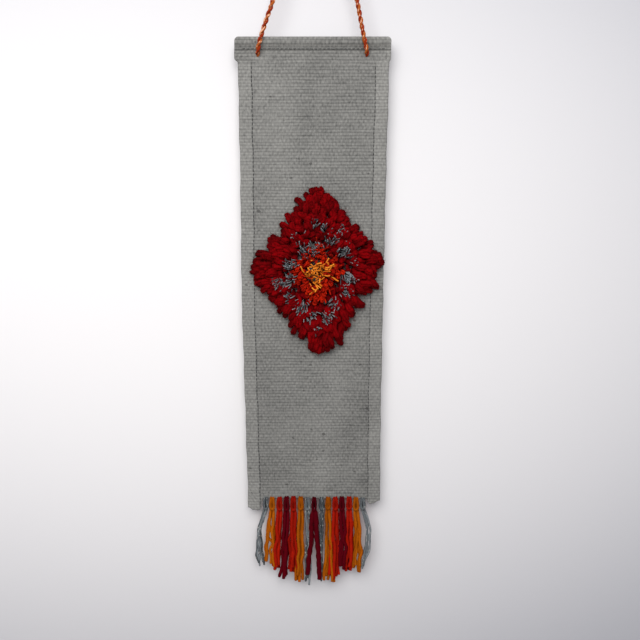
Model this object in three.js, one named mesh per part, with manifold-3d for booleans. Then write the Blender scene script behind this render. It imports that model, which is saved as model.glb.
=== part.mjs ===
// A narrow hand-woven wall hanging. It hangs by a twisted cord from a turned wooden wall peg.
// A thin dowel in a sewn pocket keeps its top straight, a diamond of knotted pile yarn stands on
// its front, and fifteen tassels are looped through its bottom edge.
// Millimetres, +Z up. The origin is the middle of the peg's back face, on the wall (the plane
// y = 0), and the front of the hanging looks along -Y.
import * as THREE from "three";
import { ConvexGeometry } from "three/addons/geometries/ConvexGeometry.js";
import { mergeVertices } from "three/addons/utils/BufferGeometryUtils.js";
import Module from "manifold-3d";

const wasm = await Module();
wasm.setup();

// ---- driving dimensions -------------------------------------------------------------------
const clearance = 0.3; // between pieces that touch

// turned peg
const pegBaseDiameter = 26;
const pegBaseThickness = 5;
const pegNeckLength = 21;
const pegHeadDiameter = 24;
const pegHeadThickness = 7;

// cloth
const clothShift = -1.5; // the cloth's middle, from the peg's
const clothTop = -154; // top of the rod pocket
const clothBottom = -635; // woven edge between the hems
const clothWidthTop = 149.6;
const clothWidthBottom = 143;
const clothThickness = 1.9;
const hemWidth = 13.4;
const leftHemDrop = 15; // how far a hem's end hangs below the woven edge
const rightHemDrop = 8;
const flapHeight = 12; // of the pocket's turned-down edge behind the cloth

// dowel and its pocket
const dowelDiameter = 5;
const dowelClearance = 0.3;
const dowelRecess = 2.2; // of each end inside the pocket's mouth
const pocketFlare = 1.9; // how far the pocket stands out past each edge of the cloth
const pocketSides = 24;

// cord
const cordDiameter = 4.2;
const cordPlane = -19.1; // where both legs hang, as in the route below
const cordWrapRadius = 10.4; // of the route's bend over the peg
const cordHoleDrop = 18; // holes below the top of the cloth
const leftHoleX = -57.1;
const rightHoleX = 51.5;
const cordHoleClearance = 1.3; // round the cord, so that the cloth can tilt on it
const knotDiameter = 8.4;
const cordSteps = 78;
const cordSides = 10;

// sewing thread
const threadDiameter = 0.8;
const seamInset = 1.3; // pocket seam below the pocket

// pile diamond
const pileDrop = 232; // its middle below the top of the cloth
const pileShift = 4; // its middle from the cloth's
const pileHeart = [-2, -4]; // where the rings close in, from its middle
const pileHalfWidth = 64;
const pileHalfHeight = 84;
const pileGap = 0.5;

// tassels
const tasselCount = 15;
const tasselSpacing = 1.2; // between neighbours
const fringeMargin = 4.9; // from a hem to the middle of the tassel beside it
const tasselHeadRadius = 2.3; // of the loop that turns at the cloth's edge
const tasselKnotHeight = 14;
const tasselGap = 0.4; // below the woven edge
const tasselFan = 0.085; // how far the fringe spreads, per length of a tassel
const tasselLengths = [79, 80, 84, 93, 86, 98, 101, 97, 95, 98, 94, 86, 85, 86, 85];

// ---- worked out from them -----------------------------------------------------------------
const pegNeckDiameter = 2 * (cordWrapRadius - clearance - cordDiameter / 2);
const pocketInner = dowelDiameter / 2 + dowelClearance;
const pocketOuter = pocketInner + clothThickness;
const pocketWidth = clothWidthTop + 2 * pocketFlare;
const dowelLength = pocketWidth - 2 * dowelRecess;
// The cord lies on the front of the pocket, and the cloth's back face runs on from its middle.
const clothBack = cordPlane + cordDiameter / 2 + clearance + pocketOuter;
const clothFront = clothBack - clothThickness;
const foldedBack = clothBack + clothThickness; // back face where the cloth is double
const clothMiddleY = (clothFront + clothBack) / 2;
const pocketZ = clothTop - pocketOuter;
const panelTop = pocketZ - pocketOuter - clearance;
const flapBottom = panelTop - flapHeight;
const holeZ = clothTop - cordHoleDrop;
const holeRadius = cordDiameter / 2 + cordHoleClearance;
const fringeWidth = clothWidthBottom - 2 * hemWidth - 2 * fringeMargin;
const tasselPitch = fringeWidth / (tasselCount - 1);
const tasselWidth = tasselPitch - tasselSpacing;

// ---- finishes -----------------------------------------------------------------------------
const finish = (color, roughness, metalness = 0) => new THREE.MeshStandardMaterial({ color, roughness, metalness });
const turnedWood = finish(0xb98a58, 0.55);
const greyCloth = finish(0x858480, 0.95);
const rustCord = finish(0xb0522a, 0.9);
const greyThread = finish(0x6f6f6d, 0.8);
const yarn = {
  red: finish(0x8c0410, 0.95),
  grey: finish(0x5f6464, 0.95),
  orange: finish(0xc83a14, 0.95),
  gold: finish(0xd98a2b, 0.95),
  burgundy: finish(0x5a0010, 0.95),
  mustard: finish(0xc77414, 0.95),
};

// ---- helpers ------------------------------------------------------------------------------
const hanging = new THREE.Group();

function place(name, geometry, material) {
  const mesh = new THREE.Mesh(geometry, material);
  mesh.name = name;
  hanging.add(mesh);
}

// A flat outline of (x, z) points, as a plate between two depths.
function plate(outline, front, back) {
  const shape = new THREE.Shape(outline.map(([x, z]) => new THREE.Vector2(x, z)));
  const geometry = new THREE.ExtrudeGeometry(shape, { depth: back - front, bevelEnabled: false });
  return geometry.rotateX(Math.PI / 2).translate(0, back, 0);
}

// A round bar along a straight line.
function bar(from, to, diameter, sides) {
  const start = new THREE.Vector3(...from);
  const run = new THREE.Vector3(...to).sub(start);
  const geometry = new THREE.CylinderGeometry(diameter / 2, diameter / 2, run.length(), sides);
  const turn = new THREE.Quaternion().setFromUnitVectors(new THREE.Vector3(0, 1, 0), run.clone().normalize());
  const middle = start.addScaledVector(run, 0.5);
  return geometry.applyQuaternion(turn).translate(middle.x, middle.y, middle.z);
}

function solid(geometry) {
  const bare = geometry.clone();
  bare.deleteAttribute("normal");
  bare.deleteAttribute("uv");
  const merged = mergeVertices(bare, 1e-4);
  return new wasm.Manifold(
    new wasm.Mesh({
      numProp: 3,
      vertProperties: new Float32Array(merged.attributes.position.array),
      triVerts: new Uint32Array(merged.index.array),
    }),
  );
}

function fromSolid(body) {
  const { vertProperties, triVerts } = body.getMesh();
  const geometry = new THREE.BufferGeometry();
  geometry.setAttribute("position", new THREE.BufferAttribute(new Float32Array(vertProperties), 3));
  geometry.setIndex(new THREE.BufferAttribute(new Uint32Array(triVerts), 1));
  return geometry;
}

// Half of the cloth's width at a height: it narrows evenly from its top to its woven edge.
function halfWidth(z) {
  const share = (clothTop - z) / (clothTop - clothBottom);
  return THREE.MathUtils.lerp(clothWidthTop, clothWidthBottom, share) / 2;
}

const leftEdge = (z) => clothShift - halfWidth(z);
const rightEdge = (z) => clothShift + halfWidth(z);

// ---- wall peg: base, neck and rounded head, turned in one piece about Y ---------------------
function wallPeg() {
  const neckEnd = pegBaseThickness + pegNeckLength;
  const end = neckEnd + pegHeadThickness;
  const profile = [
    [0, 0],
    [pegBaseDiameter / 2, 0],
    [pegBaseDiameter / 2, pegBaseThickness - 1.5],
    [pegBaseDiameter / 2 - 1.5, pegBaseThickness],
    [pegNeckDiameter / 2, pegBaseThickness],
    [pegNeckDiameter / 2, neckEnd],
    [pegHeadDiameter / 2 - 1.5, neckEnd],
    [pegHeadDiameter / 2, neckEnd + 1.5],
    [pegHeadDiameter / 2, end - 3],
    [pegHeadDiameter / 2 - 3, end - 0.8],
    [0, end],
  ];
  const points = profile.map(([r, out]) => new THREE.Vector2(r, out));
  // The lathe turns about +Y, and a half turn about X makes the peg stand out along -Y.
  return new THREE.LatheGeometry(points, 28).rotateX(Math.PI);
}
place("wall_peg", wallPeg(), turnedWood);

// ---- hanging cord ---------------------------------------------------------------------------
// Through the left hole, up in front of the pocket, over the peg's neck and down to the right.
const cordRoute = [
  [-57.2, -10.9, -172],
  [-57.15, -13.6, -171.5],
  [-57, -16.4, -169.7],
  [-56.5, -18.5, -166.6],
  [-55.4, -19.1, -162],
  [-52.6, -19.1, -153],
  [-47, -19.1, -137],
  [-40.7, -19.1, -120],
  [-31.4, -19, -84],
  [-20.7, -18.7, -40],
  [-12.7, -18.3, -8],
  [-10.1, -18, 2.5],
  [-8.3, -18, 6.3],
  [-4.6, -18, 9.33],
  [0, -18, 10.4],
  [4.6, -18, 9.33],
  [8.3, -18, 6.3],
  [10.1, -18, 2.5],
  [12.7, -18.3, -8],
  [20.7, -18.7, -40],
  [31.8, -19, -84],
  [40.7, -19.1, -120],
  [44.2, -19.1, -137],
  [47.6, -19.1, -153],
  [49.6, -19.1, -162],
  [50.6, -18.5, -166.6],
  [51.2, -16.4, -169.7],
  [51.45, -13.6, -171.5],
  [51.5, -10.9, -172],
];

function hangingCord() {
  const route = new THREE.CatmullRomCurve3(cordRoute.map((p) => new THREE.Vector3(...p)));
  const section = new THREE.Shape();
  for (let i = 0; i < cordSides; i++) {
    const angle = (2 * Math.PI * i) / cordSides;
    const corner = [(cordDiameter / 2) * Math.cos(angle), (cordDiameter / 2) * Math.sin(angle)];
    if (i === 0) section.moveTo(...corner);
    else section.lineTo(...corner);
  }
  section.closePath();
  return new THREE.ExtrudeGeometry(section, { steps: cordSteps, extrudePath: route, bevelEnabled: false });
}
place("hanging_cord", hangingCord(), rustCord);

// Stopper knots behind the cloth, one on each end of the cord.
for (const [side, x] of [["left", leftHoleX], ["right", rightHoleX]]) {
  const knot = new THREE.SphereGeometry(knotDiameter / 2, 14, 10);
  place(`cord_knot_${side}`, knot.translate(x, foldedBack + clearance + knotDiameter / 2, holeZ), rustCord);
}

// ---- rod pocket and dowel -------------------------------------------------------------------
function rodPocket() {
  const ring = new THREE.Shape();
  ring.absarc(0, 0, pocketOuter, 0, 2 * Math.PI, false);
  const bore = new THREE.Path();
  bore.absarc(0, 0, pocketInner, 0, 2 * Math.PI, true);
  ring.holes.push(bore);
  const tube = new THREE.ExtrudeGeometry(ring, {
    depth: pocketWidth,
    curveSegments: pocketSides,
    bevelEnabled: false,
  });
  return tube.rotateY(Math.PI / 2).translate(clothShift - pocketWidth / 2, clothBack, pocketZ);
}
place("rod_pocket", rodPocket(), greyCloth);

const dowelEnd = dowelLength / 2;
place(
  "top_dowel",
  bar([clothShift - dowelEnd, clothBack, pocketZ], [clothShift + dowelEnd, clothBack, pocketZ], dowelDiameter, pocketSides),
  turnedWood,
);

// ---- cloth: the single sheet, its two side hems and the pocket's flap, one folded piece ------
function clothPanel() {
  const leftEnd = clothBottom - leftHemDrop;
  const rightEnd = clothBottom - rightHemDrop;
  const edge = (side, z) => (side < 0 ? leftEdge(z) : rightEdge(z));
  const sheet = plate(
    [
      [leftEdge(panelTop), panelTop],
      [leftEdge(clothBottom), leftEnd],
      [leftEdge(clothBottom) + hemWidth, leftEnd + 1.5],
      [leftEdge(clothBottom) + hemWidth, clothBottom],
      [rightEdge(clothBottom) - hemWidth, clothBottom],
      [rightEdge(clothBottom) - hemWidth, rightEnd],
      [rightEdge(clothBottom) - 1, rightEnd + 3.5],
      [rightEdge(clothBottom), clothBottom],
      [rightEdge(panelTop), panelTop],
    ],
    clothFront,
    clothBack,
  );
  const hem = (side, end) =>
    plate(
      [
        [edge(side, panelTop), panelTop],
        [edge(side, clothBottom), end],
        [edge(side, clothBottom) - side * hemWidth, end],
        [edge(side, panelTop) - side * hemWidth, panelTop],
      ],
      clothBack - clothThickness / 2,
      foldedBack,
    );
  const flap = plate(
    [
      [leftEdge(panelTop), panelTop],
      [leftEdge(flapBottom), flapBottom],
      [rightEdge(flapBottom), flapBottom],
      [rightEdge(panelTop), panelTop],
    ],
    clothBack - clothThickness / 2,
    foldedBack,
  );
  const hole = (x) => {
    const through = [clothFront - 5, foldedBack + 5];
    return solid(bar([x, through[0], holeZ], [x, through[1], holeZ], 2 * holeRadius, 16));
  };
  const cloth = solid(sheet)
    .add(solid(hem(-1, clothBottom - leftHemDrop + 2)))
    .add(solid(hem(1, clothBottom - rightHemDrop + 4)))
    .add(solid(flap))
    .subtract(hole(leftHoleX))
    .subtract(hole(rightHoleX));
  return fromSolid(cloth);
}
place("cloth_panel", clothPanel(), greyCloth);

// ---- sewing thread, lying on the back of each seam -------------------------------------------
const threadY = foldedBack + clearance + threadDiameter / 2;
const seamZ = panelTop - seamInset;
const hemSeamTop = flapBottom - 1;
const hemSeam = (side, end) => {
  const x = (z) => (side < 0 ? leftEdge(z) : rightEdge(z)) - side * (hemWidth - 0.8);
  return bar([x(hemSeamTop), threadY, hemSeamTop], [x(clothBottom), threadY, end], threadDiameter, 8);
};
const pocketSeam = bar(
  [leftEdge(seamZ) + 1, threadY, seamZ],
  [rightEdge(seamZ) - 1, threadY, seamZ],
  threadDiameter,
  8,
);
place("pocket_stitching", pocketSeam, greyThread);
place("left_hem_stitching", hemSeam(-1, clothBottom - leftHemDrop + 4), greyThread);
place("right_hem_stitching", hemSeam(1, clothBottom - rightHemDrop + 5), greyThread);

// ---- pile: rings of knotted yarn tufts, a diamond inside a diamond ---------------------------
const pileMiddle = [clothShift + pileShift, clothTop - pileDrop];
const diamond = [
  [0.02, 1],
  [1, 0.1],
  [0.06, -1],
  [-1, -0.03],
].map(([across, up]) => [across * pileHalfWidth, up * pileHalfHeight]);

// A point on the diamond shrunk to a share round its heart: side 0 to 3, and how far along it.
function onDiamond(share, side, along) {
  const [a, b] = [diamond[side], diamond[(side + 1) % 4]];
  return [0, 1].map(
    (k) =>
      pileMiddle[k] + (1 - share) * pileHeart[k] + share * THREE.MathUtils.lerp(a[k], b[k], along),
  );
}

// Moves every side of a convex outline inwards by a distance.
function inset(outline, distance) {
  const count = outline.length;
  const middle = [0, 1].map((k) => outline.reduce((sum, p) => sum + p[k], 0) / count);
  const sides = outline.map((p, i) => {
    const q = outline[(i + 1) % count];
    const along = new THREE.Vector2(q[0] - p[0], q[1] - p[1]).normalize();
    const normal = new THREE.Vector2(-along.y, along.x);
    const towards = new THREE.Vector2(middle[0] - p[0], middle[1] - p[1]);
    if (normal.dot(towards) < 0) normal.negate();
    return { normal, reach: normal.x * p[0] + normal.y * p[1] + distance };
  });
  return sides.map((b, i) => {
    const a = sides[(i + count - 1) % count];
    const cross = a.normal.x * b.normal.y - a.normal.y * b.normal.x;
    return [
      (a.reach * b.normal.y - b.reach * a.normal.y) / cross,
      (a.normal.x * b.reach - b.normal.x * a.reach) / cross,
    ];
  });
}

// A tuft patch: full size where it meets the cloth, and narrower at the yarn's tips.
function tuft(outline, height) {
  const base = inset(outline, pileGap / 2);
  const middle = [0, 1].map((k) => base.reduce((sum, p) => sum + p[k], 0) / base.length);
  const level = (size, depth) =>
    base.map((p) => {
      const [x, z] = [0, 1].map((k) => THREE.MathUtils.lerp(middle[k], p[k], size));
      return new THREE.Vector3(x, clothFront - clearance - depth, z);
    });
  return new ConvexGeometry([...level(1, 0), ...level(1, 0.55 * height), ...level(0.72, height)]);
}

const rings = [
  { name: "pile_red_outer", color: yarn.red, outer: 1, inner: 0.8, perSide: 3, height: 9 },
  { name: "pile_red_inner", color: yarn.red, outer: 0.8, inner: 0.56, perSide: 2, height: 12 },
  { name: "pile_grey", color: yarn.grey, outer: 0.56, inner: 0.4, perSide: 2, height: 10 },
  { name: "pile_orange", color: yarn.orange, outer: 0.4, inner: 0.2, perSide: 1, height: 12 },
];
for (const ring of rings) {
  for (let i = 0; i < 4 * ring.perSide; i++) {
    const [side, step] = [Math.floor(i / ring.perSide), i % ring.perSide];
    const [from, to] = [step / ring.perSide, (step + 1) / ring.perSide];
    const outline = [
      onDiamond(ring.outer, side, from),
      onDiamond(ring.outer, side, to),
      onDiamond(ring.inner, side, to),
      onDiamond(ring.inner, side, from),
    ];
    place(`${ring.name}_${String(i + 1).padStart(2, "0")}`, tuft(outline, ring.height), ring.color);
  }
}
const centreOutline = [0, 1, 2, 3].map((side) => onDiamond(rings.at(-1).inner, side, 0));
place("pile_gold_centre", tuft(centreOutline, 13), yarn.gold);

// ---- tassels: a yarn bundle looped over the cloth's edge by a lark's head ---------------------
// Turned about its own length, then flattened and leaned so that the fringe fans out.
const tasselAxisZ = clothBottom - tasselGap - tasselHeadRadius;
const tasselFlat = (2 * tasselHeadRadius) / tasselWidth;

function tassel(length, lean) {
  const half = tasselWidth / 2;
  const headAngles = [90, 60, 30, 0];
  const head = headAngles.map((degrees) => {
    const angle = THREE.MathUtils.degToRad(degrees);
    return [half * Math.cos(angle), tasselHeadRadius * Math.sin(angle)];
  });
  const strands = [
    [half, -tasselKnotHeight + 3],
    [0.8 * half, -tasselKnotHeight],
    [0.98 * half, -tasselKnotHeight - 8],
    [half, -0.7 * length],
    [0.9 * half, -length],
    [0, -length],
  ];
  const profile = [...head, ...strands].map(([r, z]) => new THREE.Vector2(Math.max(r, 0), z)).reverse();
  profile[profile.length - 1].x = 0;
  const bundle = new THREE.LatheGeometry(profile, 12).rotateX(Math.PI / 2).scale(1, tasselFlat, 1);
  const leaning = new THREE.Matrix4().set(1, 0, -lean, 0, 0, 1, 0, 0, 0, 0, 1, 0, 0, 0, 0, 1);
  return bundle.applyMatrix4(leaning);
}

// The colours run inwards from both ends and meet at a burgundy tassel in the middle.
const tasselColors = ["grey", "mustard", "orange", "burgundy", "orange", "mustard", "grey", "burgundy"];
for (let i = 0; i < tasselCount; i++) {
  const fromMiddle = i - (tasselCount - 1) / 2;
  const fromEnd = Math.min(i, tasselCount - 1 - i);
  const color = yarn[tasselColors[fromEnd % tasselColors.length]];
  const lean = (2 * tasselFan * fromMiddle) / (tasselCount - 1);
  const length = tasselLengths[i % tasselLengths.length];
  const x = clothShift + fromMiddle * tasselPitch;
  const bundle = tassel(length, lean).translate(x, clothMiddleY, tasselAxisZ);
  place(`tassel_${String(i + 1).padStart(2, "0")}`, bundle, color);
}

export default hanging;
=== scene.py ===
# %% [markdown]
# # A hand-woven wall hanging
# A narrow grey banner hangs by a twisted cord. A thick diamond of red, grey, orange and gold
# yarn stands on its front, and fifteen tassels hang from its bottom edge. The CAD model gives
# every place and size, and this script makes the yarn, the weave and the finishes around it.

# %% Load the frame
import math

import bpy
import numpy as np
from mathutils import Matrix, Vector


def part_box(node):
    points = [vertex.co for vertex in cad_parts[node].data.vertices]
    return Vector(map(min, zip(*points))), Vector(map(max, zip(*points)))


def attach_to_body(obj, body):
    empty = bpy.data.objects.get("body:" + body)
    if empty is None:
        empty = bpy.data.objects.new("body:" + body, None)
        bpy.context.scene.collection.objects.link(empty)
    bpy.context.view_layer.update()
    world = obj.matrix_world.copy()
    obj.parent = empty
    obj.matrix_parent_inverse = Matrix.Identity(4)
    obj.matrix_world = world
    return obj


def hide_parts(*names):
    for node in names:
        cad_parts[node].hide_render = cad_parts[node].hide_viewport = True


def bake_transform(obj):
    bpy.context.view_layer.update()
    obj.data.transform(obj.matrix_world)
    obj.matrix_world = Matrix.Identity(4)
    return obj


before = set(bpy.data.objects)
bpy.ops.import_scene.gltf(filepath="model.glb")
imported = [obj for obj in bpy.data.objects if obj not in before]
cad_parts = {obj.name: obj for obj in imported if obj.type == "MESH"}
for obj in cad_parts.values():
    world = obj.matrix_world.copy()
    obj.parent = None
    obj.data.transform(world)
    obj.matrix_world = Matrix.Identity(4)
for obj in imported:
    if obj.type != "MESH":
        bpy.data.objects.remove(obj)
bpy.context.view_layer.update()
MM = 0.001


# %% Boxes of CAD nodes, as arrays
def box(node):
    """Lowest and highest corner of a CAD node at rest, in metres."""
    low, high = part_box(node)
    return np.array(low), np.array(high)


cloth_low, cloth_high = box("cloth_panel")
CLOTH_THICKNESS = (cloth_high[1] - cloth_low[1]) / 2  # the CAD cloth is double at its hems
cloth_y = cloth_low[1] + CLOTH_THICKNESS / 2  # the single sheet's middle

# %% [markdown]
# ## Camera
# The hanging is seen nearly square on, from a little above its middle, so the camera tilts
# down and the banner narrows towards its foot.

# %% The camera
LENS = 42.75
CAMERA_DISTANCE = 0.790  # in front of the cloth
CAMERA_DROP = 0.310  # below the peg
CAMERA_TILT = 9.3  # degrees below the horizon
CAMERA_ASIDE = 4.8 * MM  # to the right of the peg

camera_data = bpy.data.cameras.new("camera")
camera_data.lens = LENS
camera_data.sensor_width = 36
camera = bpy.data.objects.new("camera", camera_data)
camera.location = (CAMERA_ASIDE, cloth_y - CAMERA_DISTANCE, -CAMERA_DROP)
camera.rotation_euler = (math.radians(90 - CAMERA_TILT), 0, 0)
bpy.context.collection.objects.link(camera)
bpy.context.scene.camera = camera

# %% [markdown]
# ## Shader maths as expressions
# A pattern such as a weave is a formula. One small class wraps a socket, so that the formula is
# written as Python and the Math nodes follow. One method makes every other kind of node.


# %% A socket that can be added, scaled and compared
class Value:
    """The output of a shader node, with operators that add Math nodes."""

    def __init__(self, finish, socket):
        self.finish = finish
        self.socket = socket

    def math(self, operation, *others):
        inputs = dict(enumerate((self, *others)))
        return self.finish.node("ShaderNodeMath", {"operation": operation}, inputs)

    def __add__(self, other):
        return self.math("ADD", other)

    def __sub__(self, other):
        return self.math("SUBTRACT", other)

    def __rsub__(self, other):
        return (self * -1) + other

    def __mul__(self, other):
        return self.math("MULTIPLY", other)

    def __pow__(self, other):
        return self.math("POWER", other)

    __radd__ = __add__
    __rmul__ = __mul__

    def clamp(self):
        return self.finish.node("ShaderNodeClamp", {}, {"Value": self})

    def above(self, low, high):
        """0 below low, 1 above high and smooth between them."""
        settings = {"interpolation_type": "SMOOTHSTEP"}
        inputs = {"Value": self, "From Min": low, "From Max": high}
        return self.finish.node("ShaderNodeMapRange", settings, inputs)


# %% A finish: one material being made
class Finish:
    """A node material. node() makes any node, and shade() ends the material."""

    def __init__(self, name):
        self.material = bpy.data.materials.new(name)
        self.material.use_nodes = True
        self.tree = self.material.node_tree
        self.tree.nodes.clear()

    def node(self, kind, settings, inputs, output=0):
        made = self.tree.nodes.new(kind)
        for key, value in settings.items():
            setattr(made, key, value)
        for key, value in inputs.items():
            if isinstance(value, Value):
                self.tree.links.new(value.socket, made.inputs[key])
            else:
                made.inputs[key].default_value = value
        return Value(self, made.outputs[output]) if made.outputs else None

    def mix(self, factor, first, second):
        """Colour first where factor is 0 and second where it is 1."""
        colours = [c if isinstance(c, Value) else (*c, 1) for c in (first, second)]
        inputs = {0: factor, 6: colours[0], 7: colours[1]}
        return self.node("ShaderNodeMix", {"data_type": "RGBA"}, inputs, 2)

    def attribute(self, name):
        return self.node("ShaderNodeAttribute", {"attribute_name": name}, {}, 2)

    def place(self):
        return self.node("ShaderNodeTexCoord", {}, {}, 3)

    def split(self, vector, axis):
        return self.node("ShaderNodeSeparateXYZ", {}, {"Vector": vector}, axis)

    def uv(self):
        """The piece's own map: metres along it, and metres or turns across it."""
        yarn = self.node("ShaderNodeUVMap", {"uv_map": "yarn"}, {})
        return self.split(yarn, 0), self.split(yarn, 1)

    def noise(self, vector, scale, detail=2.0, roughness=0.5):
        inputs = {"Vector": vector, "Scale": scale, "Detail": detail, "Roughness": roughness}
        return self.node("ShaderNodeTexNoise", {}, inputs)

    def vector(self, x, y, z=0.0):
        return self.node("ShaderNodeCombineXYZ", {}, {0: x, 1: y, 2: z})

    def bump(self, height, distance, strength=1.0):
        inputs = {"Height": height, "Distance": distance, "Strength": strength}
        return self.node("ShaderNodeBump", {}, inputs)

    def shade(self, **inputs):
        names = {key.replace("_", " "): value for key, value in inputs.items()}
        for key in ("Base Color", "Sheen Tint"):
            if isinstance(names.get(key), tuple):
                names[key] = (*names[key], 1)
        surface = self.node("ShaderNodeBsdfPrincipled", {}, names)
        self.node("ShaderNodeOutputMaterial", {}, {"Surface": surface})
        return self.material


# %% [markdown]
# ## Colours
# Yarn colours are written as the eye reads them on a screen, and turned into the linear
# light that the shaders work in.


# %% Screen colours to linear light
def linear(red, green, blue):
    """Screen values from 0 to 255 as linear light: the standard screen curve undone."""
    screen = np.array([red, green, blue]) / 255
    low, high = screen / 12.92, ((screen + 0.055) / 1.055) ** 2.4
    return tuple(float(v) for v in np.where(screen <= 0.04045, low, high))


# %% [markdown]
# ## Yarn finishes
# Wool is not one colour: fibres lie along the yarn in lighter and darker streaks. Shade is
# painted into the colour: it darkens towards each root, where the hollows lie in shade, and
# lightens a little towards each tip. Each yarn carries its own tone, so that no two strands
# look alike. A soft sheen stands for the halo of loose fibres.

# %% One finish for every yarn
STREAKS_ALONG, STREAKS_AROUND = 420, 9  # in a metre, and in a turn
LAY_PITCH = 900  # streaks that cross a metre, for a lay of 1
FIBRES = 2600.0  # in a metre


def yarn_finish(
    name, dark, light, fleck=None, fleck_share=0.62, sheen=0.35, lay=0.5, spread=0.45
):
    """Streaks run along the yarn with a lay that twists round it. Tone is the strand's own
    and depth runs from 0 at its root to 1 at its tip; depth sets the painted shade at the root."""
    finish = Finish(name)
    along, around = finish.uv()
    twisted = around * STREAKS_AROUND + along * (lay * LAY_PITCH)
    streaks = finish.noise(finish.vector(along * STREAKS_ALONG, twisted), 1.0, 3.0, 0.6)
    fibres = finish.noise(finish.place(), FIBRES, 3.0, 0.7)
    tone, depth = finish.attribute("tone"), finish.attribute("depth")
    # depth * 0.25 is painted light: each strand is a little lighter towards its tip.
    light_share = streaks * 1.0 + fibres * 0.5 + (tone - 0.5) * spread + depth * 0.25 - 0.475
    colour = finish.mix(light_share.clamp(), dark, light)
    if fleck:
        flecks = finish.noise(finish.vector(along * 300, around * 3), 1.0, 1.0)
        colour = finish.mix(flecks.above(fleck_share, fleck_share + 0.06), colour, fleck)
    # Painted shade: towards each root the colour sinks to a third of the dark one, for the shade
    # in the hollows.
    painted_root_shade = tuple(0.3 * v for v in dark)
    return finish.shade(
        Base_Color=finish.mix(depth.above(-0.1, 0.85), painted_root_shade, colour),
        Roughness=0.95,
        Normal=finish.bump(streaks + fibres * 0.7, 0.35 * MM),
        Specular_IOR_Level=0.04,
        Sheen_Weight=sheen,
        Sheen_Roughness=0.5,
        Sheen_Tint=light,
    )


YARN_COLOURS = {  # dark, light, sheen, and how much strands differ
    "red": ((56, 0, 2), (122, 0, 4), 0.0, 0.45),
    "orange": ((84, 2, 2), (170, 28, 6), 0.02, 0.7),
    "gold": ((140, 58, 4), (218, 132, 42), 0.05, 0.8),
    "burgundy": ((36, 0, 5), (92, 0, 12), 0.03, 0.45),
    "mustard": ((96, 42, 1), (180, 94, 8), 0.03, 0.45),
}
YARN = {
    f"yarn_{key}": yarn_finish(
        f"{key} yarn", linear(*dark), linear(*light), sheen=sheen, spread=spread
    )
    for key, (dark, light, sheen, spread) in YARN_COLOURS.items()
}
YARN["yarn_grey"] = yarn_finish(
    "grey tweed yarn", linear(26, 30, 32), linear(122, 127, 130), linear(146, 145, 140),
    sheen=0.03, spread=1.0,
)

# %% [markdown]
# ## Meshes from whole arrays
# Every new piece is a set of points worked out with numpy and joined by quads and triangles.
# One function turns the arrays into a mesh. It also stores the map along the yarn and the
# tone and depth of each point, which the finishes read.


# %% Arrays into a mesh
def make_piece(name, points, quads, tris, material, uv=None, tone=None, depth=None, slots=None):
    """A mesh object at the origin. uv has one pair per point, like tone and depth."""
    mesh = bpy.data.meshes.new(name)
    corners = np.concatenate([quads.ravel(), tris.ravel()]).astype(np.int32)
    starts = np.concatenate([np.arange(len(quads)) * 4, quads.size + np.arange(len(tris)) * 3])
    mesh.vertices.add(len(points))
    mesh.vertices.foreach_set("co", np.ascontiguousarray(points, np.float32).ravel())
    mesh.loops.add(len(corners))
    mesh.loops.foreach_set("vertex_index", corners)
    mesh.polygons.add(len(starts))
    mesh.polygons.foreach_set("loop_start", starts.astype(np.int32))
    mesh.update(calc_edges=True)
    mesh.polygons.foreach_set("use_smooth", np.ones(len(starts), bool))
    if uv is not None:
        layer = mesh.uv_layers.new(name="yarn")
        layer.data.foreach_set("uv", uv[corners].astype(np.float32).ravel())
    for key, values in (("tone", tone), ("depth", depth)):
        if values is not None:
            layer = mesh.attributes.new(key, "FLOAT", "POINT")
            layer.data.foreach_set("value", values.astype(np.float32))
    for one in material if isinstance(material, list) else [material]:
        mesh.materials.append(one)
    if slots is not None:
        mesh.polygons.foreach_set("material_index", slots.astype(np.int32))
    piece = bpy.data.objects.new(name, mesh)
    bpy.context.collection.objects.link(piece)
    return piece


def yarn_piece(name, parts, material, depth, slots=None):
    """A piece from sweep's arrays. Depth is one number for each point, or one for all."""
    depth = np.broadcast_to(depth, len(parts["points"]))
    shape = [parts[key] for key in ("points", "quads", "tris")]
    return make_piece(name, *shape, material, parts["uv"], parts["tone"], depth, slots)


def attach(piece, body, slot, *nodes):
    """The piece rides a body and stands for CAD nodes. The slot is not used."""
    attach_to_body(piece, body)
    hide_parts(*nodes)


# %% [markdown]
# ## Yarn as swept tubes
# A strand of yarn is a round section carried along a path. Many strands are swept at once:
# the paths are one array of strand by step by place. The section's frame comes from one
# steady direction that no part of the path runs along, so that the tube never pinches.


# %% Lengths, directions and the faces of a tube
def unit(vectors):
    return vectors / np.maximum(np.linalg.norm(vectors, axis=-1, keepdims=True), 1e-12)


def run_length(lines):
    """How far along its line each point lies."""
    pieces = np.linalg.norm(np.diff(lines, axis=-2), axis=-1)
    return np.concatenate([np.zeros_like(pieces[..., :1]), np.cumsum(pieces, axis=-1)], axis=-1)


def tube_faces(rings, sides):
    """Quads between rings, and triangles that close the first and last ring on a point."""
    count = rings * sides
    grid = np.arange(count).reshape(rings, sides)
    nxt = np.roll(grid, -1, axis=1)
    quads = np.stack([grid[:-1], nxt[:-1], nxt[1:], grid[1:]], axis=-1).reshape(-1, 4)
    start = np.stack([np.full(sides, count), nxt[0], grid[0]], axis=-1)
    end = np.stack([np.full(sides, count + 1), grid[-1], nxt[-1]], axis=-1)
    return quads, np.concatenate([start, end])


# %% Sweep round sections along many paths
END_DOME = 0.4  # height of a strand's rounded end, in radii


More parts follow.
